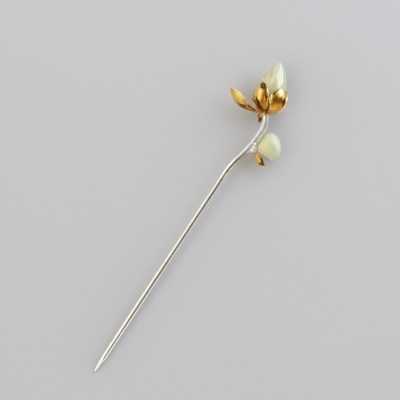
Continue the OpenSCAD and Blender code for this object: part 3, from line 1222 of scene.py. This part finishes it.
@dataclass(frozen=True)
class Twig:
    """The satin twig head with all that is soldered to it, run together as the solder does.

    Attributes:
        radius: Radius that the twig's own radii are taken from.
        flange: Radius and thickness of the flange that carries the petals.
        post, side_post: Radius and length of each bud's post.
        spur, collar: Radius of the side spur and of the collar on it, and where each starts.
        nubs: Place and radius of each solder nub beside the spur.
        knobble: Height of the twig's unevenness.
        polished: Distances from the pin's tip between which its polish fades into satin.
        tarnished, wear_and_sheen: Distances from the pin's tip, and how much painted shade and
            painted sheen its painted side has there.
        painted_side_facing: Direction that this painted side faces, in degrees about Z.
        voxel: Size of the cells in which the parts run together.
        sunk, round_off: How far parts run into each other, and the rounding of the collar.
    """

    name: str = "silver_twig"
    radius: float = 1.5
    flange: Span = (1.65, 0.9)
    post: Span = (0.8, 6)
    side_post: Span = (0.5, 4)
    spur: Span = (1, -3.6)
    collar: Span = (1.15, -2)
    nubs: Rows = ((-0.2, 0.6, -2.35, 0.75), (0.85, 0.65, -1.65, 0.9), (2.05, 0.75, -0.72, 0.98))
    knobble: float = 0.07
    polished: Span = (102, 115)
    tarnished: Rows = ((99, 0), (104, 0.5), (111, 0.8), (114, 0), (122, 0), (126, 0.6), (129, 0.6))
    wear_and_sheen: Rows = ((110, 0), (112.5, 1), (119.5, 1), (123, 0))
    painted_side_facing: float = -75
    voxel: float = 0.1
    sunk: float = 0.5
    round_off: float = 0.15

    def build(self, finish: Material) -> Object:
        """Builds the twig and dresses it.

        Args:
            finish: Material that it is made of.

        Returns:
            The finished piece.
        """
        flange_top = -SHEET / 2 - GAP
        collar_top = -SHEET - 2 * GAP
        reach, thick = self.flange
        post, length = self.post
        side_post, side_length = self.side_post
        spur, spur_start = self.spur
        collar, start = self.collar
        trim = self.round_off
        flower_shapes = (
            [(flange_top - thick, self.radius), (flange_top, reach)],
            [(flange_top - self.sunk, post), (length, post)],
        )
        side_shapes = (
            [(spur_start, spur), (start + self.sunk, spur)],
            [
                (start, collar - trim),
                (start + 2 * trim, collar),
                (collar_top - 2 * trim, collar),
                (collar_top, collar - trim),
            ],
            [(collar_top - self.sunk, side_post), (side_length, side_post)],
        )
        parts = [self._branch()]
        parts += [self._turned(shape, FLOWER_SEAT) for shape in flower_shapes]
        parts += [self._turned(shape, SIDE_SEAT) for shape in side_shapes]
        parts += [self._ball(*nub) for nub in self.nubs]
        mesh = self._run_together(parts)
        self._mask(mesh, flange_top - thick)
        return piece(mesh, finish, "pin_and_twig", sharp=80)

    def _mask(self, mesh: Mesh, painted_gold_from: float) -> None:
        """Marks the painted reflection of the gold petals on the flange, where the polish runs on, and the
        painted shade and sheen.

        Args:
            mesh: The twig, in millimetres.
            painted_gold_from: Height above the flower's seat at which the painted gold reflection begins.
        """
        points = read_points(mesh, "co")
        along = points[:, 0] + ORIGIN[0]
        foot, top = FLOWER_SEAT.placed(np.array([[0, 0, painted_gold_from], [0, 0, painted_gold_from + 1]]))
        soft_edge = 0.3
        # Gold colour painted over the flange as a reflection of the petals
        gilt = np.clip((points - foot) @ (top - foot) / soft_edge + 0.5, 0, 1)
        start, end = self.polished
        way = math.radians(self.painted_side_facing)
        facing = read_points(mesh, "normal") @ np.array([math.cos(way), math.sin(way), 0])
        # Painted shade and sheen reach a little past the edge of that side, and stop where the gold
        # reflection is painted
        side = np.clip(facing * 2 + 0.2, 0, 1) * (1 - gilt)
        write_mask(mesh, Mask.GILT, gilt)
        write_mask(mesh, Mask.POLISH, np.clip((end - along) / (end - start), 0, 1))
        for mask, table in ((Mask.TARNISH_AND_SHADE, self.tarnished), (Mask.PALE, self.wear_and_sheen)):
            write_mask(mesh, mask, side * np.interp(along, *np.array(table).T))

    def _branch(self) -> Mesh:
        """Lofts the bent twig, with the slow swellings of a cast branch.

        Returns:
            Its closed mesh, in millimetres.
        """
        rings, sides = 160, 40
        # Swellings for each millimetre
        slow, quick = 0.45, 1.1
        share = np.linspace(0, 1, rings + 1)
        row = row_at(TWIG, share)
        centre = np.stack([row[:, 0], row[:, 1], climb(row[:, 0])], 1)
        run = np.gradient(centre, axis=0)
        run /= np.linalg.norm(run, axis=1, keepdims=True)
        across = np.cross([0, 0, 1], run)
        across /= np.linalg.norm(across, axis=1, keepdims=True)
        up = np.cross(run, across)
        angle = np.arange(sides) * math.tau / sides
        skin = Sheath()
        made = []
        for k in range(rings + 1):
            out = np.cos(angle)[:, None] * across[k] + np.sin(angle)[:, None] * up[k]
            plain = centre[k] + row[k, 2] * self.radius * out
            swell = [noise.noise(Vector(p * slow)) + 0.5 * noise.noise(Vector(p * quick)) for p in plain]
            bumps = self.knobble * np.array(swell)[:, None] * out
            made.append(skin.add(plain + bumps - np.array([*ORIGIN, 0])))
        skin.loft(made)
        return skin.mesh("branch")

    @staticmethod
    def _turned(shape: Sequence[Span], seat: Seat) -> Mesh:
        """Turns a short part.

        Args:
            shape: Heights and radii of its outline.
            seat: Seat that the heights are counted from.

        Returns:
            Its closed mesh, in millimetres.
        """
        sides = 64
        ends = [(shape[0][0], POINT_R), *shape, (shape[-1][0], POINT_R)]
        skin = Sheath()
        skin.lathe(np.array(ends), sides)
        return skin.mesh("turned", seat)

    @staticmethod
    def _ball(x: float, y: float, z: float, radius: float) -> Mesh:
        """Makes a round nub of solder.

        Args:
            x: Place of its middle from the side bud's seat, to the photo's left of the bud.
            y: The same, towards the viewer.
            z: The same, along the bud.
            radius: Its radius.

        Returns:
            Its closed mesh, in millimetres.
        """
        rings, sides, pole = 24, 40, 0.02
        turn = np.linspace(pole, math.pi - pole, rings)
        skin = Sheath()
        skin.lathe(np.stack([-np.cos(turn), np.sin(turn)], 1) * radius, sides)
        skin.points = [ring + np.array([x, y, z]) for ring in skin.points]
        return skin.mesh("nub", SIDE_SEAT)

    def _run_together(self, parts: Sequence[Mesh]) -> Mesh:
        """Joins overlapping closed parts into one skin with small fillets.

        Args:
            parts: The closed meshes, in millimetres.

        Returns:
            One closed mesh, in millimetres.
        """
        joined = bmesh.new()
        for part in parts:
            joined.from_mesh(part)
            bpy.data.meshes.remove(part)
        mesh = bpy.data.meshes.new(self.name)
        joined.to_mesh(mesh)
        joined.free()
        holder = in_scene("holder", mesh)
        cells = holder.modifiers.new("cells", "REMESH")
        cells.mode = "VOXEL"
        cells.voxel_size = self.voxel
        ease = holder.modifiers.new("ease", "SMOOTH")
        ease.factor = 0.5
        ease.iterations = 5
        graph = bpy.context.evaluated_depsgraph_get()
        result = bpy.data.meshes.new_from_object(holder.evaluated_get(graph))
        bpy.data.objects.remove(holder)
        bpy.data.meshes.remove(mesh)
        result.name = self.name
        return result


@dataclass(frozen=True)
class Softbox:
    """A lamp with a lit face, placed as the viewer sees it.

    Attributes:
        name: Its name.
        bearing: Where it stands round the picture in degrees, from the right upwards.
        tilt: Its angle from straight above the hairpin, in degrees.
        away: Distance from the hairpin in metres.
        size: Width and height in metres.
        brightness: Brightness of its face; 1 looks white.
        colour: Colour of its light.
    """

    name: str
    bearing: float
    tilt: float
    away: float
    size: Span
    brightness: float
    colour: Colour


@dataclass(frozen=True)
class Studio:
    """Pale floor, soft lamps and the camera straight above the hairpin.

    Attributes:
        look_at: Point in the middle of the picture, in millimetres.
        away: Distance of the camera from that point in millimetres.
        across: Width that the picture shows at that point, in millimetres.
        roll: Turn of the picture in degrees; at 0 its top is +Y.
        sensor: Width of the sensor in millimetres.
        floor_size: Side of the floor in metres.
        overhead, around: Colours of the room straight above and at the floor's horizon.
    """

    look_at: tuple[float, float, float] = (9.24, 1.06, 6)
    away: float = 550
    across: float = 165
    roll: float = -56.64
    sensor: float = 36
    floor_size: float = 6
    # Columns: name, bearing, tilt, distance, size, brightness, colour
    lamps: tuple[Softbox, ...] = (
        Softbox("left_softbox", 163, 55, 0.9, (1.3, 1.25), 0.84, (0.97, 0.99, 1)),
        Softbox("right_softbox", 34, 66, 0.9, (0.85, 0.95), 3.2, (0.73, 0.78, 1)),
        Softbox("head_softbox", 87, 57, 0.9, (0.65, 1.0), 1.1, (0.98, 0.96, 1)),
        Softbox("low_softbox", -140, 46, 0.9, (0.8, 0.8), 0.8, (1, 0.97, 0.93)),
        Softbox("fill_softbox", -75, 62, 0.9, (1.0, 0.8), 0.52, (1, 0.98, 0.94)),
        Softbox("warm_card", -33, 78, 0.9, (0.9, 0.35), 0.45, (0.98, 1, 0.82)),
        Softbox("tip_card", -6, 78, 0.9, (0.3, 0.34), 1.3, (1, 0.97, 0.9)),
    )
    overhead: Colour = (0.17, 0.145, 0.085)
    around: Colour = (0.62, 0.61, 0.58)

    def build(self, effects: Effects) -> None:
        """Sets up camera, lamps, room and floor.

        Args:
            effects: Surface effects that the finishes share.
        """
        self._camera()
        for lamp in self.lamps:
            self._lamp(lamp)
        self._room()
        self._floor(Matte("floor_matte", (0.635, 0.64, 0.645), (0.625, 0.63, 0.635)).material(effects))

    def _camera(self) -> None:
        """The camera, looking straight down with a long lens."""
        data = bpy.data.cameras.new("camera")
        data.sensor_width = self.sensor
        data.lens = self.sensor * self.away / self.across
        data.clip_start = 0.01
        data.clip_end = 50
        camera = in_scene("camera", data)
        camera.location = (Vector(self.look_at) + Vector((0, 0, self.away))) * MM
        camera.rotation_euler = (0, 0, math.radians(self.roll))
        bpy.context.scene.camera = camera

    def _lamp(self, lamp: Softbox) -> None:
        """Hangs one softbox, facing the middle of the hairpin.

        Args:
            lamp: The softbox.
        """
        data = bpy.data.lights.new(lamp.name, "AREA")
        data.shape = "RECTANGLE"
        data.size, data.size_y = lamp.size
        data.energy = lamp.brightness * math.pi * lamp.size[0] * lamp.size[1]
        data.color = lamp.colour
        turn, tilt = math.radians(lamp.bearing + self.roll), math.radians(lamp.tilt)
        way = Vector((math.cos(turn) * math.sin(tilt), math.sin(turn) * math.sin(tilt), math.cos(tilt)))
        holder = in_scene(lamp.name, data)
        holder.location = Vector(self.look_at) * MM + way * lamp.away
        holder.rotation_euler = way.to_track_quat("Z", "Y").to_euler()

    def _room(self) -> None:
        """Room that is pale along the floor and dim and warm overhead."""
        world = bpy.data.worlds.new("room")
        world.use_nodes = True
        bpy.context.scene.world = world
        wire = Wiring(world.node_tree)
        background = next(n for n in world.node_tree.nodes if n.type == "BACKGROUND")
        way = wire.add("ShaderNodeTexCoord").outputs["Generated"]
        height = wire.add("ShaderNodeSeparateXYZ", {"Vector": way}).outputs["Z"]
        colour = wire.mix(wire.ramp(height, 0.02, 0.45), self.around, self.overhead)
        wire.feed(background, {"Color": colour})

    def _floor(self, material: Material) -> None:
        """Lays the plain floor, just below the hairpin.

        Args:
            material: What it is made of.
        """
        half = self.floor_size / 2
        corners = [(-half, -half, 0), (half, -half, 0), (half, half, 0), (-half, half, 0)]
        mesh = bpy.data.meshes.new("floor")
        mesh.from_pydata(corners, [], [(0, 1, 2, 3)])
        mesh.materials.append(material)
        floor = in_scene("floor", mesh)


@dataclass(frozen=True)
class Hairpin:
    """The whole hairpin: shank, twig, petals and buds.

    Attributes:
        main_bud_lift: Height of the main bud's foot above the flower's seat.
        post_hole, side_post_hole: Radius of the holes for the main bud's and the side bud's post.
        disc_radius, ring_radius: Radius of the flower's discs and of the side bud's ring.
    """

    main_bud_lift: float = SHEET + GAP + SHEET / 2 + GAP
    post_hole: float = 0.88
    side_post_hole: float = 0.58
    disc_radius: float = 1.7
    ring_radius: float = 1

    def build(self, effects: Effects) -> list[Object]:
        """Builds every piece, from the shank to the buds.

        Args:
            effects: Surface effects that the finishes share.

        Returns:
            The finished pieces.
        """
        polished = Silver(
            "polished_silver",
            bright=(0.93, 0.92, 0.9),
            dull=(0.86, 0.84, 0.8),
            rough=(0.12, 0.2),
            marks=(6, 0.01),
            grain=(0.3, 0.0006),
        ).material(effects)
        satin = Silver(
            "satin_silver",
            bright=(0.88, 0.86, 0.85),
            dull=(0.75, 0.71, 0.7),
            rough=(0.36, 0.52),
            marks=(0.9, 0.05),
            grain=(0.14, 0.006),
        ).material(effects)
        gold = GoldPlate(
            "gold_plate",
            bright=(0.89, 0.65, 0.165),
            deep=(0.82, 0.34, 0.035),
            pale=(1, 0.89, 0.62),
            russet=(0.42, 0.2, 0.035),
            deep_russet=(0.45, 0.135, 0.01),
            brown=(0.098, 0.067, 0.008),
            deep_brown=(0.2, 0.07, 0.006),
            rough=(0.26, 0.36),
        ).material(effects)
        jade = Jade("pale_jade").material(effects)
        # The side bud's jade: lighter colours than the main bud's, as painted light, with a rougher polish
        # and less sheen
        soft_jade = Jade(
            "soft_pale_jade",
            pale=(0.63, 0.66, 0.49),
            green=(0.6, 0.63, 0.44),
            warm=(0.9, 0.82, 0.42),
            polish=0.34,
            coat=0.3,
        ).material(effects)
        main_bud = Bud(
            "jade_main_bud",
            "main_bud",
            FLOWER_SEAT,
            self.main_bud_lift,
            MAIN_BUD,
            length=20.8,
            radius=5.75,
            bore=(6.3 - self.main_bud_lift, self.post_hole),
            reflected_gold_to=1,
            foot_to=0.3,
        )
        side_bud = Bud(
            "jade_side_bud",
            "side_bud",
            SIDE_SEAT,
            0,
            SIDE_BUD,
            length=10,
            radius=5.75,
            bore=(4.3, self.side_post_hole),
            reflected_gold_to=0.6,
            reflected_gold_side=150,
        )
        return [
            Shank().build(polished),
            Twig().build(satin),
            self.outer_petals().build(gold),
            self.inner_petals().build(gold),
            self.side_sepal().build(gold),
            main_bud.build(jade),
            side_bud.build(soft_jade),
        ]

    def outer_petals(self) -> Whorl:
        """Lays out the lower disc with its drooping, open and short petals.

        Returns:
            The whorl, not yet built.
        """
        # Painted shade down its margin and towards its tip, and a painted highlight on its bulge; the petal
        # is also deep all over with painted shade
        droop = (
            Mark((0.3, 1), (0.5, 1), 0.6, 0.7),
            Mark((0.7, -0.2), (0.95, 0), 1.1, 0.72),
            Mark((0.36, 0.1), (0.46, 0.3), 0.55, dent=-0.1, pale=0.9),
        )
        # Orange painted reflection near the tip and on the claw, painted dark reflection along the lower
        # margin, and painted shade along the claw
        open_wide = (
            Mark((0.9, 0.5), (0.87, 0.5), 0.35, deep=0.8),
            Mark((0.64, -0.3), (0.5, -0.5), 1.4, 0.14),
            Mark((0.78, 0.5), (0.42, 0.7), 1.3, 0.12),
            Mark((0.53, -0.55), (0.46, -0.55), 1.4, 0.25),
            Mark((0.5, -0.1), (0.43, 0.25), 0.35, 0.5),
            Mark((0.44, -0.6), (0.25, -0.45), 1.2, 0.75),
            Mark((0.38, 0.8), (0.16, 0.85), 0.32, 1, dent=0.15),
            Mark((0.42, 0.35), (0.1, 0.5), 0.8, deep=1),
        )
        # Orange painted shade over its face, a painted highlight along its left rim, and painted shade
        # along its right side
        short = (
            Mark((0.75, 0.4), (0.1, 0.6), 1.1, deep=1),
            Mark((0.98, -0.6), (0.3, -0.6), 0.5, dent=-0.06, pale=1),
            Mark((0.9, 0.6), (0.72, 0.6), 0.5, 1),
            Mark((0.72, 0.7), (0.36, 0.9), 0.45, 0.6),
            Mark((0.3, 0.5), (0.2, 0.6), 0.8, 0.35),
        )
        petals = (
            Petal(-51.5, -74, -32, DROOP_PETAL, deep=0.3, marks=droop),
            Petal(0, -26, 12, OPEN_PETAL, bead=0.1, marks=open_wide),
            Petal(30, 18, 48, SHORT_PETAL, bead=0.1, marks=short),
        )
        hole = self.post_hole
        return Whorl("gilt_outer_petals", "outer_petals", FLOWER_SEAT, 0, self.disc_radius, hole, petals)

    def inner_petals(self) -> Whorl:
        """Lays out the upper disc with the four petals that cup the main bud.

        Returns:
            The whorl, not yet built.
        """
        left = (
            # Hollow at the tip, darkened with painted shade, with a light streak in it
            Mark((0.84, -0.08), (0.74, 0.15), 0.5, 1, dent=0.12),
            Mark((0.92, 0.5), (0.74, 0.72), 0.5, 1, dent=0.12),
            Mark((0.73, 0.25), (0.72, 0.62), 0.45, 0.9, dent=0.1),
            Mark((0.9, 0.2), (0.78, 0.4), 0.9, 0.4),
            # Crease darkened with painted shade, and the folded margin beside it with a painted highlight
            Mark((0.73, 0.72), (0.6, 0.75), 0.45, 1, dent=0.28),
            Mark((0.6, 0.75), (0.5, 0.83), 0.45, 0.62, dent=0.25, deep=0.8),
            Mark((0.5, 0.83), (0.42, 0.86), 0.4, 0.4, dent=0.15, deep=0.8),
            Mark((0.82, 0.96), (0.66, 1), 0.45, dent=-0.12, pale=0.7),
            Mark((0.64, 1), (0.5, 1), 0.45, dent=-0.1, deep=0.6),
            Mark((0.67, 0.52), (0.54, 0.55), 0.8, 0.35, deep=0.5),
            # Shade of the short petal, and of the neighbour at the right
            Mark((0.45, -0.16), (0.36, 0.08), 0.55, 0.8),
            Mark((0.36, 0.08), (0.24, 0.2), 0.7, 0.9),
            Mark((0.24, 0.2), (0.06, 0.36), 0.7, 0.9),
            Mark((0.26, 1), (0.05, 1), 0.3, 0.7),
            # Orange lower half of painted reflection, with a streak of painted shade on either side
            Mark((0.42, 0.62), (0.1, 0.72), 1.7, 0.2, deep=1),
            Mark((0.54, 0.62), (0.42, 0.62), 1.0, 0.25),
            Mark((0.5, 0.5), (0.42, 0.42), 0.4, 0.3),
            Mark((0.4, 0.38), (0.34, 0.4), 0.25, 0.3),
            # Painted highlight on the round of its left side
            Mark((0.72, -0.5), (0.5, -0.45), 0.7, pale=0.35),
            Mark((0.76, -0.05), (0.62, -0.15), 1.5, pale=0.2),
            # Shade behind the short petal's tip
            Mark((0.48, -0.62), (0.42, -0.5), 0.45, 0.8, deep=0.8),
        )
        right = (
            # Dark mottled hollow of painted dark reflection, with deeper spots
            Mark((0.59, -0.45), (0.6, 0), 1.05, 0.55, dent=0.15),
            Mark((0.64, 0.2), (0.6, 0.5), 0.9, 0.3, dent=0.1),
            Mark((0.73, -0.86), (0.7, -0.75), 0.45, 0.6, dent=0.1),
            Mark((0.67, -0.5), (0.62, -0.42), 0.35, 0.4),
            Mark((0.55, -0.5), (0.58, 0.4), 0.7, 0.6, deep=1),
            Mark((0.77, -0.82), (0.84, -0.7), 0.45, 0.5),
            Mark((0.57, 0.68), (0.42, 0.74), 0.35, 0.15),
            # Crease beside its left margin
            Mark((0.66, -0.78), (0.48, -0.76), 0.5, dent=0.3),
            # Painted highlight at its tip
            Mark((0.9, -0.55), (0.76, 0.1), 1.15, pale=1),
            # Orange band of painted reflection under it, and the painted shade of the neighbour at the left
            Mark((0.41, -0.7), (0.47, 0.45), 1.0, 0.1, deep=1),
            Mark((0.28, -0.3), (0.34, 0.3), 1.2, deep=0.5),
            Mark((0.3, -1), (0.12, -1), 0.3, 0.6),
        )
        # Painted highlight along the side petal's near margin
        side = (Mark((0.97, -0.9), (0.4, -1), 1.3, pale=1),)
        petals = (
            Petal(42, 2, 84, CUP_LEFT, marks=left),
            Petal(131, 104, 158, CUP_RIGHT, marks=right),
            Petal(198, 174, 224, CUP_SIDE, bead=0.14, marks=side),
            Petal(290, 248, 332, CUP_BACK, bead=0, flute=0, bend=0),
        )
        lift, hole = SHEET + GAP, self.post_hole
        return Whorl("gilt_inner_petals", "inner_petals", FLOWER_SEAT, lift, self.disc_radius, hole, petals)

    def side_sepal(self) -> Whorl:
        """Lays out the ring with one sepal under the side bud.

        Returns:
            The whorl, not yet built.
        """
        # Painted shade along its margin and down its face, and a painted highlight at its tip
        marks = (
            Mark((0.55, -0.9), (0.8, -0.5), 0.5, 1),
            Mark((0.72, -0.1), (0.68, 0.3), 0.4, 0.6),
            Mark((0.6, 0), (0.1, 0.1), 1.2, 0.18, deep=0.3),
            Mark((0.8, 0.6), (0.98, 0.3), 0.6, 0.25),
            Mark((0.86, -0.15), (1, 0), 0.32, pale=0.9),
        )
        petals = (Petal(180, 140, 220, SEPAL, marks=marks),)
        lift, hole = -SHEET / 2 - GAP, self.side_post_hole
        return Whorl(
            "gilt_side_sepal", "side_sepal", SIDE_SEAT, lift, self.ring_radius, hole, petals, wear_and_sheen=0.9
        )


def main() -> None:
    """Builds the studio and the hairpin, and reports each piece."""
    logging.basicConfig(level=logging.INFO, format="%(name)s: %(message)s")
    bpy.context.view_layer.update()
    bpy.context.scene.view_settings.view_transform = "Standard"
    effects = Effects()
    Studio().build(effects)
    for made in Hairpin().build(effects):
        made.data.calc_loop_triangles()
        LOG.info("%s: %d triangles", made.name, len(made.data.loop_triangles))


if __name__ == "__main__":
    main()
